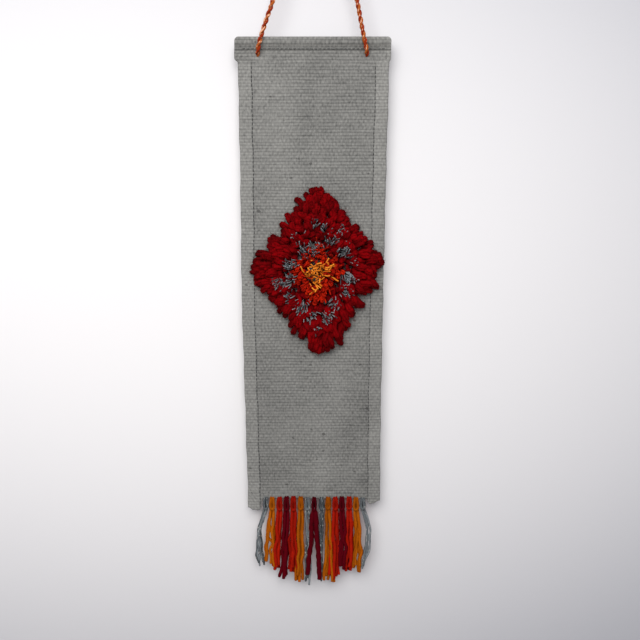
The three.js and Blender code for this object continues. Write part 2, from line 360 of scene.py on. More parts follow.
def sweep(
    paths, radii, steady, sides=8, plies=0, turns_per_m=0.0, groove=0.12, tones=None, fuzz=0.0
):
    """Tubes round paths (strand, step, xyz) with radii (strand, step). A ring's point at angle a
    is path + radius * (cos a * first + sin a * second), with first square to the path and
    nearest to the steady direction. With plies, the radius dips between them and the dips
    twist along. Fuzz is the spread of the radius from point to point, as on a brushed yarn."""
    strands, steps, _ = paths.shape
    tangent = unit(np.gradient(paths, axis=1))
    steady = np.broadcast_to(np.asarray(steady, float), (strands, 3))[:, None, :]
    first = unit(steady - (steady * tangent).sum(-1, keepdims=True) * tangent)
    second = np.cross(tangent, first)
    angle = np.arange(sides) * 2 * np.pi / sides
    length = run_length(paths)
    reach = np.broadcast_to(radii, (strands, steps))[:, :, None] * np.ones(sides)
    if plies:
        twist = 2 * np.pi * turns_per_m * length[:, :, None]
        reach = reach * (1 - groove * (0.5 - 0.5 * np.cos(plies * (angle - twist))) ** 2)
    if fuzz:
        reach = reach * (1 + np.random.default_rng(strands + steps).normal(0, fuzz, reach.shape))
    cosine, sine = np.cos(angle)[:, None], np.sin(angle)[:, None]
    ring = first[:, :, None, :] * cosine + second[:, :, None, :] * sine
    domes = np.array([-END_DOME, END_DOME])[:, None] * reach[:, [0, -1], :1]
    count = steps * sides
    points = (paths[:, :, None, :] + ring * reach[..., None]).reshape(strands, count, 3)
    points = np.concatenate([points, paths[:, [0, -1]] + tangent[:, [0, -1]] * domes], axis=1)
    uv = np.stack(np.broadcast_arrays(length[:, :, None], angle / (2 * np.pi)), axis=-1)
    uv_ends = np.stack([length[:, [0, -1]], np.zeros((strands, 2))], axis=-1)
    uv = np.concatenate([uv.reshape(strands, count, 2), uv_ends], axis=1)
    quads, tris = tube_faces(steps, sides)
    offset = (np.arange(strands) * (count + 2))[:, None, None]
    return {
        "points": points.reshape(-1, 3),
        "quads": (quads + offset).reshape(-1, 4),
        "tris": (tris + offset).reshape(-1, 3),
        "uv": uv.reshape(-1, 2),
        "tone": np.repeat(np.full(strands, 0.5) if tones is None else tones, count + 2),
    }


def joined(*parts):
    """Several sets of arrays as one."""
    parts = [p for p in parts if len(p["points"])]
    offsets = np.cumsum([0] + [len(p["points"]) for p in parts[:-1]])
    out = {k: np.concatenate([p[k] for p in parts]) for k in ("points", "uv", "tone")}
    for k in ("quads", "tris"):
        out[k] = np.concatenate([p[k] + o for p, o in zip(parts, offsets, strict=True)])
    return out


# %% A smooth curve through given points
def through(points, steps):
    """Catmull-Rom curve through points: between b and c, with neighbours a and d, it is
    half of 2b + (c - a)t + (2a - 5b + 4c - d)t^2 + (3b - a - 3c + d)t^3. The result is
    spaced evenly along its length."""
    p = np.asarray(points, float)
    ends = np.concatenate([[2 * p[0] - p[1]], p, [2 * p[-1] - p[-2]]])
    t = np.linspace(0, len(p) - 1, 40 * len(p))
    i = np.minimum(t.astype(int), len(p) - 2)
    t = (t - i)[:, None]
    a, b, c, d = ends[i], ends[i + 1], ends[i + 2], ends[i + 3]
    squares, cubes = (2 * a - 5 * b + 4 * c - d) * t**2, (3 * b - a - 3 * c + d) * t**3
    return spaced(0.5 * (2 * b + (c - a) * t + squares + cubes), steps)


def spaced(fine, steps):
    """The same line with its points spread evenly along it."""
    run = run_length(fine)
    even = np.linspace(0, run[-1], steps)
    return np.stack([np.interp(even, run, fine[:, k]) for k in range(fine.shape[1])], axis=1)


# %% [markdown]
# ## The hanging cord
# Two soft yarns, one rust and one golden, are twisted together. The cord runs from a knot
# behind the cloth, out through the left hole, up in front of the pocket, over the peg and
# back down to the right. Its route is a list of given points, the same as the CAD
# model's, and each ply is a helix round it.

# %% The cord's route
CORD_ROUTE = [  # x, y and z of one point after another
    -57.2, -10.9, -172, -57.15, -13.6, -171.5, -57, -16.4, -169.7, -56.5, -18.5, -166.6,
    -55.4, -19.1, -162, -52.6, -19.1, -153, -47, -19.1, -137, -40.7, -19.1, -120,
    -31.4, -19, -84, -20.7, -18.7, -40, -12.7, -18.3, -8, -10.1, -18, 2.5, -8.3, -18, 6.3,
    -4.6, -18, 9.33, 0, -18, 10.4, 4.6, -18, 9.33, 8.3, -18, 6.3, 10.1, -18, 2.5,
    12.7, -18.3, -8, 20.7, -18.7, -40, 31.8, -19, -84, 40.7, -19.1, -120, 44.2, -19.1, -137,
    47.6, -19.1, -153, 49.6, -19.1, -162, 50.6, -18.5, -166.6, 51.2, -16.4, -169.7,
    51.45, -13.6, -171.5, 51.5, -10.9, -172,
]
CORD_ROUTE = MM * np.reshape(CORD_ROUTE, (-1, 3))
CORD_STEPS = 520
cord_line = through(CORD_ROUTE, CORD_STEPS)

# %% Plies twisted round the route
PLIES = 2
PLY_RADIUS = 1.4 * MM
CORD_TURN = 13 * MM  # length of one full turn
CORD_STEADY = (0.62, 0.78, 0.0)  # a direction that the route never runs along
PLY_NESTING = 0.76  # distance of a ply's middle from the cord's, in radii: they press together
STRANDS_PER_M = 260.0  # turns of the strands inside a ply


def plied(line, ply_radius, turn, steady, sides=9):
    """Plies round a line: each centre is line + offset * (cos a * first + sin a * second), with
    a growing by a full circle in every turn's length."""
    tangent = unit(np.gradient(line, axis=0))
    first = unit(np.array(steady) - (tangent @ np.array(steady))[:, None] * tangent)
    second = np.cross(tangent, first)
    run, ply = run_length(line), np.arange(PLIES)[:, None]
    a = 2 * np.pi * (run / turn + ply / PLIES)[..., None]
    offset = PLY_NESTING * ply_radius
    centres = line + offset * (np.cos(a) * first + np.sin(a) * second)
    swell = 1 + 0.06 * np.sin(run * 700 + ply * 2)
    return sweep(centres, ply_radius * swell, steady, sides, 2, STRANDS_PER_M, 0.1)


def two_coloured(name, parts):
    """Half of the quads, and of the end triangles, are one ply, and the rest are the other."""
    slots = [np.arange(n) * PLIES // n for n in (len(parts["quads"]), len(parts["tris"]))]
    return yarn_piece(name, parts, [rust, golden], 0.5, np.concatenate(slots))


rust = yarn_finish(
    "rust cord yarn", linear(92, 26, 10), linear(184, 62, 24), linear(214, 150, 118),
    fleck_share=0.6, sheen=0.2, lay=0.8,
)
golden = yarn_finish(
    "golden cord yarn", linear(120, 52, 20), linear(206, 112, 48), linear(222, 172, 140),
    fleck_share=0.56, sheen=0.2, lay=0.8,
)
cord = two_coloured("twisted_cord", plied(cord_line, PLY_RADIUS, CORD_TURN, CORD_STEADY))
attach(cord, "hanger", "cord_rust", "hanging_cord")
print("cord:", len(cord.data.polygons), "faces")

# %% [markdown]
# ## Knots behind the cloth
# Each end of the cord is tied in an overhand knot, which is a trefoil curve pulled tight, and
# leaves a short tail. The knot is wider than the hole, so it holds the cloth.


# %% Overhand knots
def knot(side):
    """A trefoil: (sin t + 2 sin 2t, cos t - 2 cos 2t, -sin 3t), scaled to the CAD knot, with a
    tail that leaves it downwards."""
    low, high = box(f"cord_knot_{side}")
    t = np.linspace(0.15, 2 * np.pi - 0.15, 90)
    x, z = np.sin(t) + 2 * np.sin(2 * t), np.cos(t) - 2 * np.cos(2 * t)
    curve = np.stack([x / 3.1, -np.sin(3 * t) / 1.25, z / 3.1], axis=1)
    curve = (low + high) / 2 + curve * ((high - low) / 2 - MM * np.array([1.6, 1.9, 1.6]))
    lean = 1 if side == "left" else -1
    tail = [[1.2 * lean, 0.4, -2.6], [2.2 * lean, 0.2, -6], [2.6 * lean, 0.3, -10]]
    line = through(np.concatenate([curve[::6], curve[-1] + MM * np.array(tail)]), 130)
    piece = two_coloured(
        f"overhand_knot_{side}", plied(line, 0.95 * MM, 9 * MM, (0.35, 0.9, 0.25), 8)
    )
    attach(piece, "banner", "cord_rust", f"cord_knot_{side}")
    return piece


knots = [knot("left"), knot("right")]

# %% [markdown]
# ## Peg and dowel
# Both are plain turned wood. The peg has a wide foot on the wall, a neck for the cord and a
# rounded head. Each is a profile turned round its axis, which is how a lathe makes it.


# %% A profile turned round an axis
def rounded(corners, radius, steps=5):
    """The corners of a profile, each replaced by a short arc: from a point radius before it to
    a point radius after it, blended as (1-t)^2 a + 2t(1-t) corner + t^2 b."""
    p = np.array(corners, float)
    before, after = unit(p[:-2] - p[1:-1]), unit(p[2:] - p[1:-1])
    t = np.linspace(0, 1, steps)[:, None]
    a, b, c = (p[1:-1] + shift for shift in (before * radius, 0 * before, after * radius))
    arcs = (1 - t) ** 2 * a[:, None] + 2 * t * (1 - t) * b[:, None] + t**2 * c[:, None]
    return np.concatenate([p[:1], arcs.reshape(-1, 2), p[-1:]])


def turned(name, profile, centre, axis, material, around=72):
    """profile has (radius, distance along the axis) pairs, and starts and ends on the axis."""
    axis = np.array(axis, float)
    side = unit(np.cross(axis, [0.31, 0.52, 0.79]))
    other = np.cross(axis, side)
    a = np.arange(around) * 2 * np.pi / around
    ring = np.cos(a)[:, None] * side + np.sin(a)[:, None] * other
    body = profile[1:-1]
    points = body[:, None, :1] * ring + body[:, None, 1:] * axis
    tips = profile[[0, -1], 1:] * axis
    points = np.concatenate([points.reshape(-1, 3), tips]) + centre
    return make_piece(name, points, *tube_faces(len(body), around), material)


def wood_finish(name, dark, light, along):
    """Grain: noise drawn out along the turning axis, with finer pores over it."""
    finish = Finish(name)
    stretch = finish.node("ShaderNodeMapping", {}, {"Vector": finish.place(), "Scale": along})
    grain = finish.noise(stretch, 1.0, 6.0, 0.6)
    pores = finish.noise(stretch, 5.0, 3.0, 0.7)
    share = (grain * 1.3 + pores * 0.5 - 0.45).clamp()
    normal = finish.bump(grain + pores, 0.12 * MM)
    return finish.shade(
        Base_Color=finish.mix(share, dark, light), Roughness=0.55 - grain * 0.15, Normal=normal
    )


peg_wood = wood_finish("peg wood", linear(150, 104, 62), linear(206, 162, 112), (400, 60, 400))
PEG_PROFILE = [  # radius and y
    [0, 0], [13, 0], [13, -5], [8, -5.6], [8, -25.4], [12, -26], [12, -33], [0, -33],
]
peg_profile = rounded(MM * np.array(PEG_PROFILE), 0.9 * MM)
peg = turned("turned_peg", peg_profile[::-1], np.zeros(3), (0, 1, 0), peg_wood)
attach(peg, "wall_fixing", "peg_wood", "wall_peg")

low, high = box("top_dowel")
dowel_wood = wood_finish(
    "dowel wood", linear(168, 124, 80), linear(216, 178, 130), (40, 500, 500)
)
half, radius = (high[0] - low[0]) / 2, (high[2] - low[2]) / 2
dowel_profile = rounded([[0, -half], [radius, -half], [radius, half], [0, half]], 0.5 * MM)
dowel = turned("smooth_dowel", dowel_profile, (low + high) / 2, (1, 0, 0), dowel_wood, 40)
attach(dowel, "dowel", "dowel_wood", "top_dowel")
print("peg and dowel:", len(peg.data.polygons), len(dowel.data.polygons), "faces")

# %% [markdown]
# ## The cloth
# One length of hand-woven cloth. Its top is turned over the dowel and sewn down behind, and
# its sides are turned back and hemmed. So the whole banner is one sheet: a path that rises
# behind, goes round the dowel and drops down the front, and a section across that folds back
# at both edges. The woven edge between the hems stops short of the two hem ends.

# %% The sheet's path, section and edges
ROW = 1.27 * MM
HEM = 13.4 * MM
SEAM = 12.6 * MM  # from the edge
HALF_THICK = 0.9 * MM
WOVEN_EDGE = -636.6 * MM  # between the hems
POCKET_SEAM = -165.6 * MM
TURN_OVER = [  # y and z of one point after another
    -11.05, -176, -11.05, -171, -11.0, -166.5, -10.3, -163.6, -9.0, -161.3, -8.25, -158.7,
    -8.75, -156.8, -10.1, -155.45, -12, -154.95, -13.9, -155.45, -15.25, -156.8,
    -15.75, -158.7, -15.1, -161.3, -13.8, -163.6, -13.05, -166.5, -12.95, -171, -12.95, -180,
]
over = through(MM * np.reshape(TURN_OVER, (-1, 2)), 400)
drop = np.array([over[-1], [over[-1, 0], WOVEN_EDGE]])
whole = np.concatenate([over, spaced(drop, 900)[1:]])
whole_length = run_length(whole)[-1]
rows = round(whole_length / ROW)
sheet_path = spaced(whole, rows)  # (y, z) of every row
level = sheet_path[:, 1]
along = np.linspace(0, whole_length, rows)
behind_dowel = along < run_length(over)[-1] / 2
on_front = np.arange(rows) > np.argmin(np.abs(level + 166 * MM) + behind_dowel)

EDGE_LEVELS = [176, 294, 418, 548, 640]  # below the peg
EDGES = {"left": [-74.9, -74.4, -75.0, -73.0, -71.6], "right": [74.8, 72.9, 71.6, 70.7, 71.0]}
CLOTH_ASIDE = -1.5
left_edge, right_edge = (
    MM * (np.interp(-level / MM, EDGE_LEVELS, EDGES[side]) + CLOTH_ASIDE)
    for side in ("left", "right")
)
flare = np.clip((level + 178 * MM) / (2.6 * MM), 0, 1)
corner = np.where(level > -166 * MM, np.clip((level + 158.6 * MM) / (3.7 * MM), 0, 1), 0) ** 2
wander = 0.25 * MM * np.sin(along * 95) + 0.18 * MM * np.sin(along * 233 + 1)
left_edge = left_edge - 3.1 * MM * flare + 2.6 * MM * corner + wander
right_edge = right_edge + 1.3 * MM * flare - 2.6 * MM * corner + wander[::-1]
hemmed = np.where(on_front, np.clip((-176.2 * MM - level) / (1.2 * MM), 0, 1), 0)

FRONT_COLUMNS, FOLD_COLUMNS, BACK_COLUMNS = 86, 5, 8
fold = np.linspace(0, np.pi, FOLD_COLUMNS + 2)[1:-1]
back = np.linspace(1, 0, BACK_COLUMNS)
half_gap = hemmed[:, None] * 0.94 * MM + 0.05 * MM
hem_width = 0.5 * MM + hemmed[:, None] * (HEM - 0.5 * MM)
hem_across = np.concatenate(
    [half_gap + (hem_width - half_gap) * back, half_gap * (1 - np.sin(fold))], axis=1
)
hem_behind = np.concatenate(
    [2 * half_gap * np.ones(BACK_COLUMNS), half_gap * (1 + np.cos(fold))], axis=1
)
front_share = np.linspace(0, 1, FRONT_COLUMNS)
front_left, front_right = left_edge[:, None] + half_gap, right_edge[:, None] - half_gap
front_span = front_left * (1 - front_share) + front_right * front_share
sheet_x = np.concatenate(
    [left_edge[:, None] + hem_across, front_span, right_edge[:, None] - hem_across[:, ::-1]],
    axis=1,
)
behind = np.concatenate([hem_behind, np.zeros_like(front_span), hem_behind[:, ::-1]], axis=1)
columns = sheet_x.shape[1]
print("cloth:", rows, "rows by", columns, "columns")

# %% The hem ends, the folds and the hollows at the seams
x_mm, z_mm = sheet_x / MM, np.broadcast_to(level[:, None], sheet_x.shape) / MM
from_left, from_right = sheet_x - left_edge[:, None], right_edge[:, None] - sheet_x


def step(value, low, high):
    """0 below low, 1 above high and t^2 (3 - 2t) between them."""
    t = np.clip((value - low) / (high - low), 0, 1)
    return t * t * (3 - 2 * t)


tongue = (
    13.4 * MM * (1 - step(from_left, 12.6 * MM, 15.5 * MM))
    * (0.8 + 0.2 * step(from_left, 0, 5 * MM))
    + 6.4 * MM * (1 - step(from_right, 11 * MM, 15 * MM))
    * (0.45 + 0.55 * step(from_right, 0, 9 * MM))
)
stretch = np.where(on_front, np.clip((-575 * MM - level) / (60 * MM), 0, 1), 0)[:, None] ** 1.5
loops_at_edge = 0.5 * MM * (0.5 + 0.5 * np.sin(x_mm * 2.618))
sheet_z = level[:, None] - tongue * stretch - stretch**6 * loops_at_edge

tangent = unit(np.gradient(sheet_path, axis=0))
inward = np.stack([-tangent[:, 1], tangent[:, 0]], axis=1)  # to the dowel, or the wall
front_weight = step(-level / MM, 168, 200) * on_front
folds = (
    0.42 * np.sin(x_mm * 0.115 + 0.6 + z_mm * 0.004)
    + 0.28 * np.sin(x_mm * 0.21 - z_mm * 0.011)
    + 0.25 * np.sin(z_mm * 0.045 + x_mm * 0.03)
)
RIGHT_SEAM_FAINTER = 2.2
seam_near = np.where(
    from_left < from_right, from_left - SEAM, RIGHT_SEAM_FAINTER * (from_right - SEAM)
)
groove = 0.28 * np.exp(-((seam_near / (1.7 * MM)) ** 2)) * hemmed[:, None]
hem_ease = step(np.minimum(from_left, from_right), 0, 30 * MM)
shift = MM * (folds * front_weight[:, None] * (0.25 + 0.75 * hem_ease) + groove)
pocket_seam = along[np.argmin(np.abs(level - POCKET_SEAM) + 10 * ~on_front)]
near_pocket = np.exp(-(((along - pocket_seam) / (3 * MM)) ** 2))[:, None]
lift = behind + shift + 0.16 * MM * np.sin(x_mm * 1.4) * near_pocket
middle = np.stack(
    [sheet_x, sheet_path[:, :1] + inward[:, :1] * lift, sheet_z + inward[:, 1:] * lift], axis=-1
)

# %% Two faces and their rim
normal = unit(np.cross(np.gradient(middle, axis=1), np.gradient(middle, axis=0)))
front_face, back_face = middle + normal * HALF_THICK, middle - normal * HALF_THICK
grid = np.arange(rows * columns).reshape(rows, columns)
other = grid + rows * columns


def skin(g):
    return np.stack([g[:-1, :-1], g[1:, :-1], g[1:, 1:], g[:-1, 1:]], axis=-1).reshape(-1, 4)


def band(a, b):
    return np.stack([a[:-1], a[1:], b[1:], b[:-1]], axis=-1)


cloth_quads = np.concatenate(
    [
        skin(grid),
        skin(other)[:, ::-1],
        band(other[:, 0], grid[:, 0]),
        band(grid[:, -1], other[:, -1]),
        band(grid[0], other[0]),
        band(other[-1], grid[-1]),
    ]
)
cloth_points = np.concatenate([front_face.reshape(-1, 3), back_face.reshape(-1, 3)])
u = run_length(middle)
u = u - u[:, columns // 2 : columns // 2 + 1]
v = along[:, None] + (level[:, None] - sheet_z)
cloth_uv = np.tile(np.stack([u, v], axis=-1).reshape(-1, 2), (2, 1))
seam_field = np.tile((seam_near + 20 * MM * (1 - hemmed[:, None])).reshape(-1), 2)

# %% The weave's finish, and the piece
WARP_PITCH, WEFT_PITCH, STITCH_PITCH = 2.4 * MM, 3.2 * MM, 4.2 * MM
WANDER = 1.3 * MM  # of the threads, out of line


def cloth_finish():
    """Plain weave: sin(pi u / warp) sin(pi v / weft) is 1 in the middle of a place where the
    weft lies on top and -1 where the warp does, so the light and dark places alternate like a
    chessboard. |sin(pi v / weft)| gives the ribs. The seams are darker lines of painted shade,
    for the groove that each seam pulls into the cloth, and a band of painted shade lies along
    the pocket's seam."""
    finish = Finish("woven grey cloth")
    across, down = finish.uv()

    def grain(x, y, detail=2.0):
        return finish.noise(finish.vector(across * x, down * y), 1.0, detail)

    warp = (across + (grain(90, 160) - 0.5) * WANDER) * (math.pi / WARP_PITCH)
    weft = (down + (grain(30, 420) - 0.5) * WANDER) * (math.pi / WEFT_PITCH)
    rib = weft.math("SINE")
    checker = warp.math("SINE") * rib * 0.5 + 0.5
    ribs = rib.math("ABSOLUTE") ** 0.6
    fibre = finish.noise(finish.place(), 1500.0, 4.0, 0.7)
    patches = finish.noise(finish.place(), 26.0, 3.0, 0.5)
    bands, slub, ticks = grain(22, 3), grain(45, 640, 1.5), grain(560, 210)
    seam = finish.attribute("seam")
    on_hem = (seam * -1).above(-0.5 * MM, 0.5 * MM)
    share = checker * 0.14 + ribs * 0.3 + ticks * 0.8 + fibre * 0.6 + patches * 0.35
    share = share + bands * 0.45 + slub * 0.4 + on_hem * 0.14 - 1.1
    colour = finish.mix(share.clamp(), linear(56, 56, 55), linear(132, 131, 127))
    specks = grain(150, 210, 0.0).above(0.78, 0.84)
    colour = finish.mix(specks * 0.6, colour, linear(44, 43, 42))
    # Painted shade: a darker line along each hem seam for the groove it pulls into the cloth,
    # darker in dashes at the stitch pitch and uneven along it.
    line = (seam.math("ABSOLUTE") * -1).above(-0.75 * MM, -0.3 * MM)
    dashes = (down * (2 * math.pi / STITCH_PITCH)).math("SINE").above(-0.3, 0.5)
    uneven = finish.noise(finish.place(), 60.0, 1.0).above(0.35, 0.6)
    colour = finish.mix(line * (0.1 + dashes * 0.2 + uneven * 0.25), colour, linear(40, 40, 40))
    # Painted shade: a darker band along the pocket's seam, where the cloth creases under the
    # pocket.
    pocket_groove_and_shade = ((down - pocket_seam).math("ABSOLUTE") * -1).above(-1.0 * MM, -0.4 * MM)
    colour = finish.mix(pocket_groove_and_shade * 0.5, colour, linear(48, 48, 47))
    relief = checker * 0.35 + ribs * 0.35 + fibre * 0.5 + ticks * 0.6 + slub * 0.3
    return finish.shade(
        Base_Color=colour,
        Roughness=0.95,
        Normal=finish.bump(relief - line * 0.6 - pocket_groove_and_shade * 0.6, 0.6 * MM, 0.8),
        Specular_IOR_Level=0.15,
        Sheen_Weight=0.1,
        Sheen_Roughness=0.6,
        Sheen_Tint=linear(190, 190, 186),
    )


no_tris = np.zeros((0, 3), int)
cloth = make_piece("woven_cloth", cloth_points, cloth_quads, no_tris, cloth_finish(), cloth_uv)
seam_layer = cloth.data.attributes.new("seam", "FLOAT", "POINT")
seam_layer.data.foreach_set("value", seam_field.astype(np.float32))
attach(cloth, "banner", "cloth_grey", "cloth_panel", "rod_pocket")
print("cloth:", 2 * len(cloth_quads), "triangles")

# %% [markdown]
# ## Stitching
# Running stitches of dull grey thread hold the two hems and the pocket. Each stitch is a short
# bent strand that dives into the cloth at both ends, and they lie on both faces of the seam.

# %% Running stitches along a seam
ACROSS, UP = np.array([1.0, 0, 0]), np.array([0, 0, 1.0])
dark_thread = yarn_finish(
    "dark sewing thread", linear(52, 52, 54), linear(104, 104, 104), sheen=0.05
)
pale_thread = yarn_finish(
    "pale sewing thread", linear(110, 110, 108), linear(190, 190, 186), sheen=0.1
)


def stitch_starts(node, axis):
    """Evenly spaced starts of stitches along a CAD thread's box."""
    low, high = box(node)
    count = int((high[axis] - low[axis] - 4 * MM) // STITCH_PITCH)
    starts = np.repeat([(low + high) / 2], count, axis=0)
    starts[:, axis] = low[axis] + 3 * MM + np.arange(count) * STITCH_PITCH
    return starts


def stitches(seam, starts, heading, length, front, behind, thread):
    """A stitch runs length along heading, and rises like a half sine over the cloth. The ones
    behind lie half a pitch along."""
    t = np.linspace(0, 1, 7)
    rise = np.sin(np.pi * t)[None, :, None]
    rng = np.random.default_rng(len(starts))
    paths = []
    for y, out, along_seam in ((front, -1, 0), (behind, 1, 1)):
        begin = starts + along_seam * STITCH_PITCH / 2 * heading
        tilt = rng.normal(0, 0.12 * MM, begin.shape) * [1, 0, 1]
        path = begin[:, None, :] + (heading * length + tilt)[:, None, :] * t[None, :, None]
        path[..., 1] = y
        paths.append(path + np.array([0, out * 0.45 * MM, 0]) * rise)
    parts = sweep(np.concatenate(paths), 0.36 * MM, (0.1, 0.99, 0.1), 6)
    piece = yarn_piece(f"{seam}_stitches", parts, thread, 0.4)
    attach(piece, "banner", "thread_grey", f"{seam}_stitching")
    return piece


row = stitch_starts("pocket_stitching", 0)
row[:, 2] = POCKET_SEAM
seam_pieces = [
    stitches("pocket", row, ACROSS, 2.6 * MM, -14.4 * MM, -10.15 * MM, pale_thread)
]
order = np.argsort(level[on_front])
for side, edge, sign in (("left", left_edge, 1), ("right", right_edge, -1)):
    row = stitch_starts(f"{side}_hem_stitching", 2)
    edge_there = np.interp(row[:, 2], level[on_front][order], edge[on_front][order])
    row[:, 0] = edge_there + sign * SEAM
    seam_pieces.append(
        stitches(f"{side}_hem", row, UP, 2.4 * MM, -13.75 * MM, -9.9 * MM, dark_thread)
    )

# %% [markdown]
# ## The pile
# The diamond is knotted pile: short lengths of yarn tied round the warp, standing off the
# cloth. Red yarn is thick and left in loops that lie outwards like petals, so the outline is a
# row of rounded fingers and not a straight edge. The grey yarn is thin and cut, the orange
# makes small tight loops, and a few golden ends curl over the middle. Each CAD block becomes
# the tufts that are rooted inside it.

# %% The diamond's geometry
pile_middle = MM * np.array([2.5, -386])
pile_heart = MM * np.array([-2, -4])  # where the rings close in, from the middle
diamond = MM * np.array([[0.02 * 64, 84], [64, 0.1 * 84], [0.06 * 64, -84], [-64, -0.03 * 84]])
pile_base = cloth_low[1] - 0.2 * MM
FINGERS = [  # degrees round the middle, and mm from it to the outline
    -180, 68, -160, 62, -144, 58, -126, 61, -115, 67, -103, 75, -97, 85, -88, 87, -78, 84,
    -65, 71, -49, 60, -31, 59, -16, 65, -2, 62, 12, 66, 25, 59, 38, 62, 57, 55, 65, 66, 78, 76,
    91, 82, 99, 83, 106, 69, 121, 65, 134, 55, 145, 63, 153, 58, 163, 67, 180, 68,
]
OUT = np.array([0, -1.0, 0])  # away from the cloth
DOWN = np.array([0, 0, -1.0])


def outward(root):
    """The direction from the pile's middle to each root, and how far away it is."""
    from_middle = root - np.array([pile_middle[0], pile_base, pile_middle[1]])
    distance = np.linalg.norm(from_middle, axis=1)
    return from_middle / distance[:, None], distance


def finger_reach(heading):
    angle = np.degrees(np.arctan2(heading[:, 2], heading[:, 0]))
    return np.interp(angle, FINGERS[::2], FINGERS[1::2]) * MM


def on_diamond(share, side, way):
    """A point on the diamond shrunk to share round its heart, a way of 0 to 1 along one of its
    four sides."""
    a, b = diamond[side], diamond[(side + 1) % 4]
    share = share[..., None]
    return pile_middle + (1 - share) * pile_heart + share * (a + (b - a) * way[..., None])


def roots(rng, outer, inner, side, start, stop, in_rows, per_row, scatter):
    """Places for tufts in one block: rows across it, shifted by half a place every other row."""
    row, place = np.meshgrid(np.arange(in_rows), np.arange(per_row), indexing="ij")
    share = inner + (outer - inner) * (row + 0.5 + rng.normal(0, scatter, row.shape)) / in_rows
    way = (place + 0.5 + 0.25 * (2 * (row % 2) - 1) + rng.normal(0, scatter, row.shape)) / per_row
    way = start + (stop - start) * np.clip(way, 0.04, 0.96)
    place = on_diamond(share, side, way).reshape(-1, 2)
    return np.stack([place[:, 0], np.full(len(place), pile_base), place[:, 1]], axis=1)


def turn(directions, angles):
    """Directions in the plane of the cloth, turned by an angle each."""
    c, s = np.cos(angles), np.sin(angles)
    x, z = directions[:, 0], directions[:, 2]
    return np.stack([c * x - s * z, np.zeros(len(x)), s * x + c * z], axis=1)


# %% Loops, cut ends and loose fibres
def loops(
    rng, root, heading, reach, height, droop, radius, steps=28, sides=9, half_width=1.4 * MM
):
    """Hairpin loops. With q = 1 - |t|^2.2 for t from -1 to 1, the yarn lies at reach * q along
    its heading, half_width * tanh(4t) (1 - t^4 / 2) across it, apart from a bend of its own, and
    height * (1 - (1-q)^2.5) (1 - droop q^2) off the cloth. So it rises at its root, turns round
    at its tip and comes back."""
    droop = np.broadcast_to(droop, len(root))
    t = np.linspace(-1, 1, steps)
    q = (1 - np.abs(t) ** 2.2)[None, :]
    across_way = np.cross(heading, OUT)
    roll = rng.normal(0, 0.45, (len(root), 1))
    across_way = across_way * np.cos(roll) + OUT * np.sin(roll)
    side = np.tanh(4 * t) * (0.5 + 0.5 * (1 - t**4))
    bend = rng.normal(0, 0.1, (len(root), 1)) * reach[:, None]
    out = height[:, None] * (1 - (1 - q) ** 2.5) * (1 - droop[:, None] * q**2)
    sideways = half_width * side + bend * q**2
    paths = (
        root[:, None, :]
        + heading[:, None, :] * (reach[:, None] * q)[..., None]
        + across_way[:, None, :] * sideways[..., None]
        + OUT * out[..., None]
        + DOWN * (0.9 * MM * q**2)[..., None]
    )
    lump = 1 + 0.07 * np.sin(t * 9 + rng.uniform(0, 6, (len(root), 1)))
    lump = lump + rng.normal(0, 0.03, (len(root), steps))
    radii = radius * lump * rng.uniform(0.9, 1.1, (len(root), 1))
    radii[:, [0, -1]] *= 0.8
    tones = rng.uniform(0, 1, len(root))
    return sweep(paths, radii, unit(heading - OUT), sides, tones=tones, fuzz=0.17)


def cut_ends(rng, root, heading, reach, height, radius, steps=11, sides=6, curl=0.0):
    """Cut strands: they rise as height * t^0.7, lean as reach * t^1.4 and curl sideways as
    curl * t (sin(5t + phase) - sin(phase))."""
    count = len(root)
    t = np.linspace(0, 1, steps)[None, :]
    across_way = np.cross(heading, OUT)
    phase = rng.uniform(0, 6.3, (count, 1))
    sideways = curl * (np.sin(5 * t + phase) - np.sin(phase)) * t
    paths = (
        root[:, None, :]
        + heading[:, None, :] * (reach[:, None] * t**1.4)[..., None]
        + OUT * (height[:, None] * t**0.7)[..., None]
        + across_way[:, None, :] * sideways[..., None]
    )
    radii = radius * rng.uniform(0.85, 1.15, (count, 1)) * (1 - 0.15 * t)
    return sweep(paths, radii, unit(heading - OUT), sides, tones=rng.uniform(0, 1, count))


def hairs(rng, parts, count=460, length=3.6 * MM):
    """Loose fibres that spring from a piece: from a point p with a direction n away from the
    nearest loop's middle, p + length (n t + curl t^2)."""
    points = parts["points"]
    pick = rng.integers(0, len(points) - 24, count)
    start = points[pick]
    away = unit(start - (points[pick + 4] + start) / 2 + rng.normal(0, 0.5, (count, 3)) * MM)
    t = np.linspace(0, 1, 5)[None, :, None]
    curl = rng.normal(0, 0.5, (count, 1, 3))
    reach = length * rng.uniform(0.5, 1.2, (count, 1, 1))
    paths = start[:, None, :] + reach * (away[:, None, :] * t + curl * t**2)
    paths[..., 1] = np.minimum(paths[..., 1], pile_base)
    steady = unit(np.cross(away, rng.normal(0, 1, (count, 3))))
    tones = rng.uniform(0.3, 1, count)
    return sweep(paths, np.full((count, 5), 0.07 * MM), steady, 3, tones=tones)


# %% Red yarn
RED_RADIUS, MAT_RADIUS = 1.9 * MM, 1.7 * MM


def loop_rows(rng, block, rows, per_row, scatter, stray, reach, height, droop, radius, **shape):
    """Rows of loops in a block. They stray from pointing outwards, and their reach and height
    lie between two values in mm."""
    root = roots(rng, *block, rows, per_row, scatter)
    heading = turn(outward(root)[0], rng.normal(0, stray, len(root)))
    reach, height = (MM * rng.uniform(*span, len(root)) for span in (reach, height))
    return loops(rng, root, heading, reach, height, droop, radius, **shape)


def undergrowth(rng, block, rows, per_row):
    """A mat of short loops that hides the cloth between the long ones."""
    spread = (0.3, 1.3, (3, 6), (5, 7))
    return loop_rows(rng, block, rows, per_row, *spread, 0.2, MAT_RADIUS, steps=18, sides=7)


